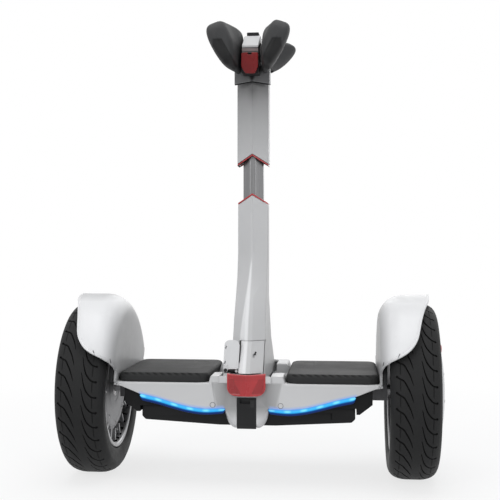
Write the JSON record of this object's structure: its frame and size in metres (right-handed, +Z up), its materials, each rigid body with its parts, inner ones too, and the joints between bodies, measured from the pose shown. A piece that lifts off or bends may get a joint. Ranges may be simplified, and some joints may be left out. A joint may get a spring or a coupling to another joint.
{
  "type": "self balancing personal transporter",
  "caption": "Self balancing transporter: hub motor wheels under fenders, a low deck with foot mats, and a leaning, telescopic steering column with knee pads.",
  "frame": {"origin": "on the ground under the middle of the wheel axis", "axes": "+X to the rider's right along the wheel axis, +Y forward, +Z up"},
  "size_m": [0.5606, 0.256, 0.6637],
  "materials": {
    "white_casing": "satin white painted casing",
    "grey_paint": "aluminium tube in satin light grey paint",
    "black_casting": "matt black painted casting",
    "black_plastic": "fine grained black plastic",
    "tyre_rubber": "dark tread rubber",
    "mat_rubber": "soft dark rubber",
    "pad_foam": "moulded skin over foam",
    "red_plastic": "clear red plastic over a red base",
    "silver_metal": "cast and turned aluminium",
    "steel": "turned steel",
    "blue_light": "lit blue light strip",
    "white_light": "clear white lamp lens",
    "copper_windings": "wound copper on a laminated core",
    "circuit_board": "green lacquered board",
    "cell_wrap": "blue shrink wrap over cells"
  },
  "bodies": {
    "chassis": {"deck_shell": "white_casing", "chassis_frame": "black_casting", "battery_case": "black_plastic", "battery_cells": "cell_wrap", "control_board": "circuit_board", "rear_keel_insert": "black_plastic", "front_keel_insert": "black_plastic", "headlight": "white_light", "status_display": "black_plastic", "charge_socket": "black_plastic", "rear_steering_bearing": "steel", "front_steering_bearing": "steel", "centring_spring": "steel", "left_foot_mat": "mat_rubber", "right_foot_mat": "mat_rubber", "left_foot_sensor": "silver_metal", "right_foot_sensor": "silver_metal", "left_fender": "white_casing", "right_fender": "white_casing", "left_tail_light": "blue_light", "right_tail_light": "blue_light", "left_axle": "steel", "right_axle": "steel", "left_axle_clamp": "silver_metal", "right_axle_clamp": "silver_metal", "left_stator": "copper_windings", "right_stator": "copper_windings"},
    "left_wheel": {"left_tyre": "tyre_rubber", "left_rim": "silver_metal", "left_motor_cover": "silver_metal", "left_wheel_bearing": "steel", "left_hubcap": "white_casing", "left_reflector": "red_plastic"},
    "right_wheel": {"right_tyre": "tyre_rubber", "right_rim": "silver_metal", "right_motor_cover": "silver_metal", "right_wheel_bearing": "steel", "right_hubcap": "white_casing", "right_reflector": "red_plastic"},
    "steering_bar": {"steering_shaft": "steel", "lower_stem": "white_casing", "stem_rear_panel": "white_casing", "foot_cover": "red_plastic", "stem_trim": "red_plastic", "pole_bush": "black_plastic", "lever_bracket": "black_plastic", "lever_pin": "steel"},
    "height_slider": {"pole": "silver_metal", "upper_sleeve": "grey_paint", "sleeve_trim": "red_plastic", "collar": "black_plastic", "head_frame": "black_plastic", "handle": "white_casing", "handle_cap": "black_plastic", "left_knee_pad": "pad_foam", "right_knee_pad": "pad_foam"},
    "height_trigger": {"height_trigger": "red_plastic"},
    "lock_lever": {"lock_lever": "white_casing"},
    "power_button": {"power_button": "silver_metal"},
    "charge_port_cap": {"charge_port_cap": "mat_rubber"}
  },
  "joints": [
    {"name": "left_wheel_spin", "type": "hinge", "parent": "chassis", "child": "left_wheel", "pos_m": [-0.234, 0, 0.128], "axis": [1, 0, 0], "continuous": true},
    {"name": "right_wheel_spin", "type": "hinge", "parent": "chassis", "child": "right_wheel", "pos_m": [0.234, 0, 0.128], "axis": [1, 0, 0], "continuous": true},
    {"name": "steering_lean", "type": "hinge", "parent": "chassis", "child": "steering_bar", "pos_m": [0, 0, 0.132], "axis": [0, -1, 0], "range_deg": [-8, 8], "stiffness_Nm_per_rad": 60},
    {"name": "height_adjust", "type": "slide", "parent": "steering_bar", "child": "height_slider", "axis": [0, 0, 1], "range_m": [-0.055, 0.11]},
    {"name": "trigger_press", "type": "slide", "parent": "height_slider", "child": "height_trigger", "axis": [0, 1, 0], "range_m": [0, 0.002], "stiffness_N_per_m": 1500, "springref_m": -0.001},
    {"name": "lock_lever_swing", "type": "hinge", "parent": "steering_bar", "child": "lock_lever", "pos_m": [-0.0297, -0.083, 0.165], "axis": [0, 1, 0], "range_deg": [-85, 0]},
    {"name": "power_button_press", "type": "slide", "parent": "chassis", "child": "power_button", "axis": [0, -1, 0], "range_m": [0, 0.0012], "stiffness_N_per_m": 400, "springref_m": -0.001},
    {"name": "charge_cap_swing", "type": "hinge", "parent": "chassis", "child": "charge_port_cap", "pos_m": [0, 0.0898, 0.105], "axis": [1, 0, 0], "range_deg": [0, 100], "stiffness_Nm_per_rad": 0.01}
  ]
}
